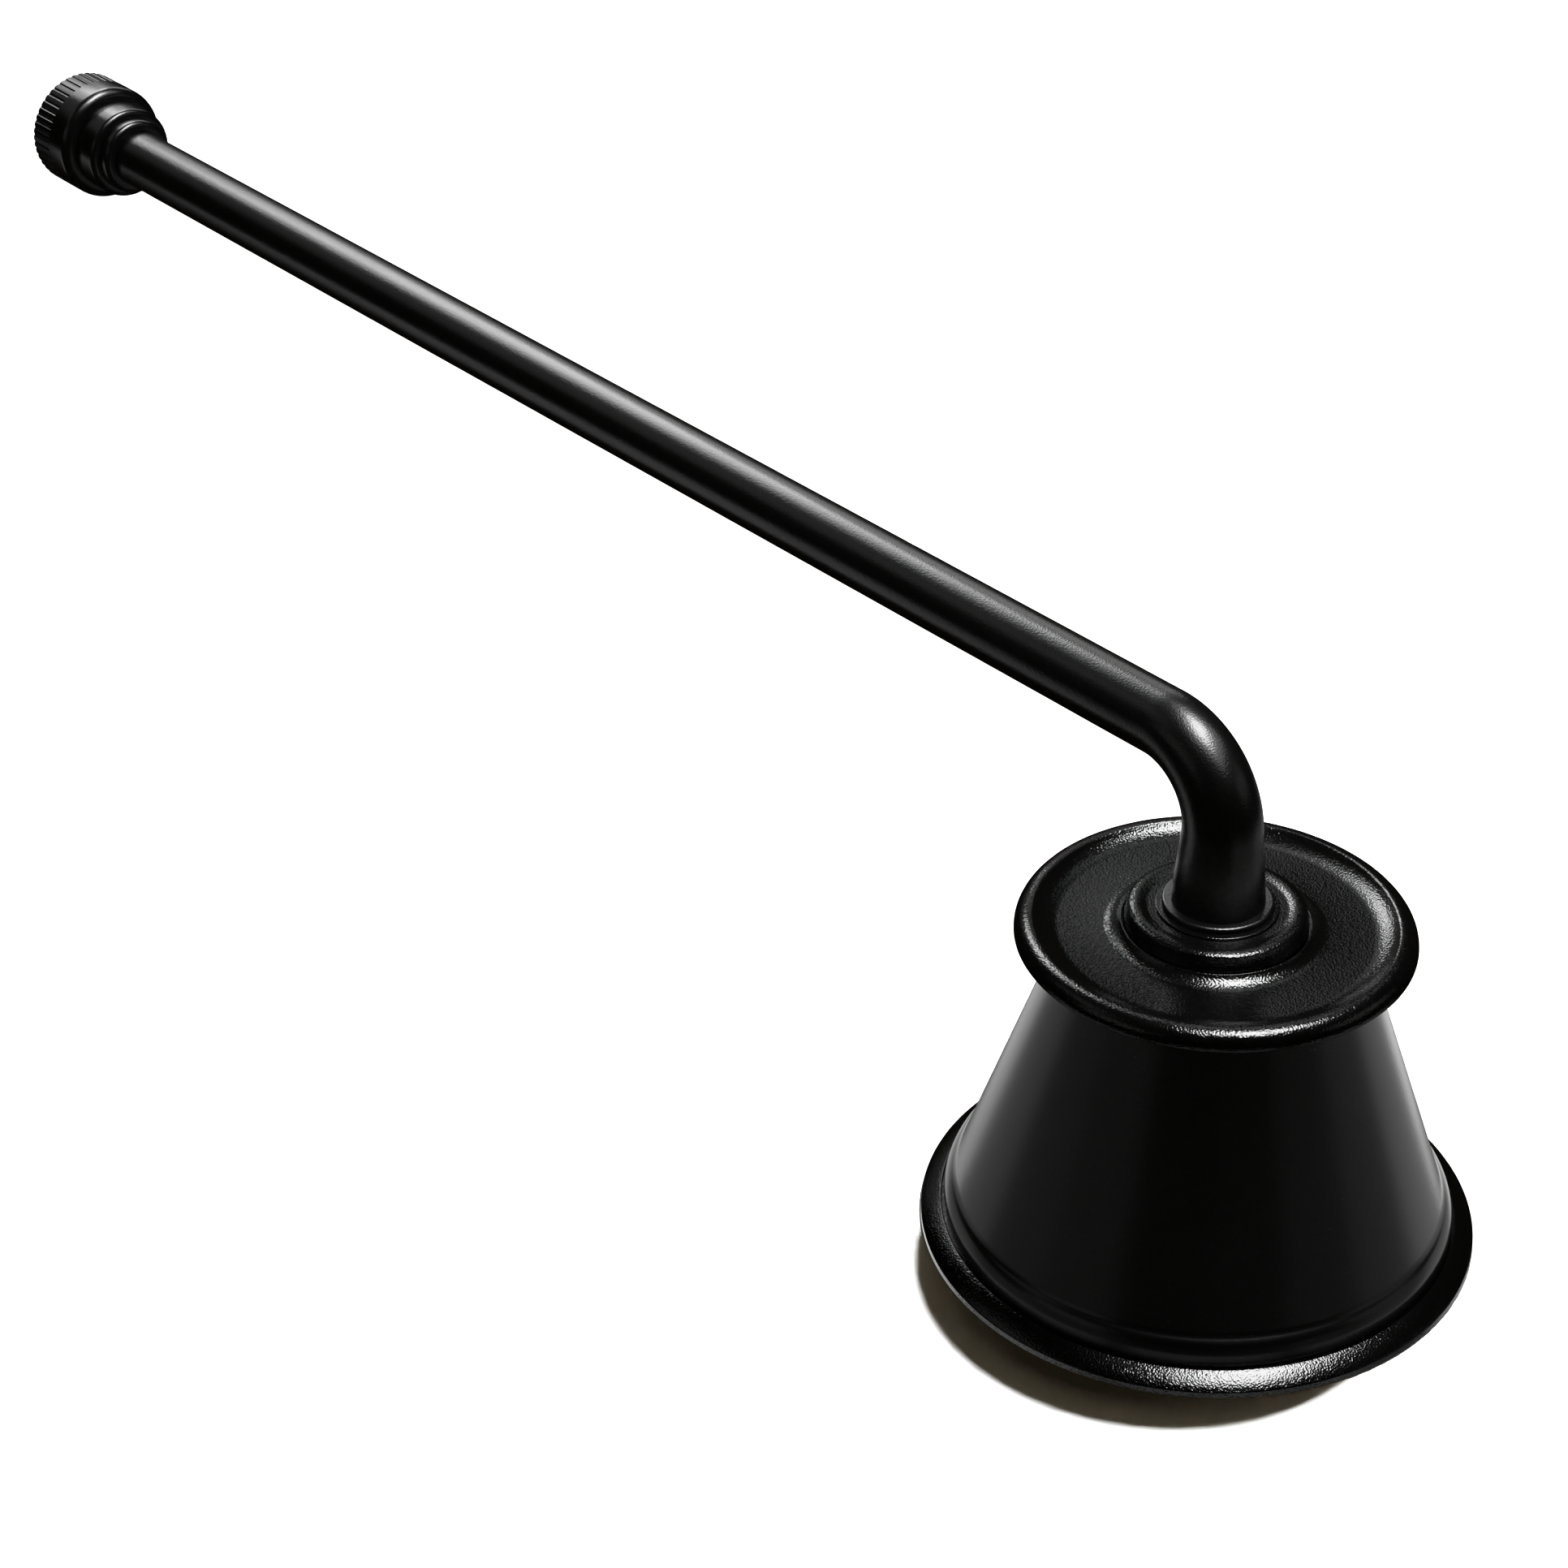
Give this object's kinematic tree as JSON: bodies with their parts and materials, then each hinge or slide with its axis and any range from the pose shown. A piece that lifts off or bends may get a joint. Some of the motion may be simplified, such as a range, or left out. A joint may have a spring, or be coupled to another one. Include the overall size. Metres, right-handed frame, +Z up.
{
  "type": "candle snuffer",
  "caption": "Candle snuffer: flanged conical bell with a dished disc on its neck, a bent tube handle and a fluted screw-on knob, all in black.",
  "frame": {"origin": "centre of the bell's mouth, on the plane that the rim ring rests on", "axes": "+Z up along the bell's axis; the handle leaves the neck upward, bends and runs along -X to the knob"},
  "size_m": [0.2009, 0.048, 0.0532],
  "materials": {
    "black_coated_steel": "satin",
    "black_coated_aluminium": "satin",
    "plated_steel": "satin"
  },
  "bodies": {
    "snuffer": {"rim_ring": "black_coated_steel", "bell_shell": "black_coated_steel", "top_disc": "black_coated_steel", "crown_boss": "black_coated_steel", "foot_collar": "black_coated_steel", "handle_tube": "black_coated_aluminium", "foot_stud": "plated_steel", "flat_washer": "plated_steel", "spring_washer": "plated_steel", "hex_nut": "plated_steel", "end_stud": "plated_steel"},
    "ferrule": {"knob_ferrule": "black_coated_aluminium"},
    "knob": {"knob": "black_coated_aluminium"}
  },
  "joints": [
    {"name": "knob_travel", "type": "slide", "parent": "snuffer", "child": "ferrule", "axis": [-1, 0, 0], "range_m": [0, 0.0035]},
    {"name": "knob_turn", "type": "hinge", "parent": "ferrule", "child": "knob", "pos_m": [-0.17, 0, 0.047], "axis": [-1, 0, 0], "range_deg": [0, 1800]}
  ],
  "couplings": [
    {"joint": "knob_turn", "follows": "knob_travel", "rad_per_m": 8976}
  ]
}
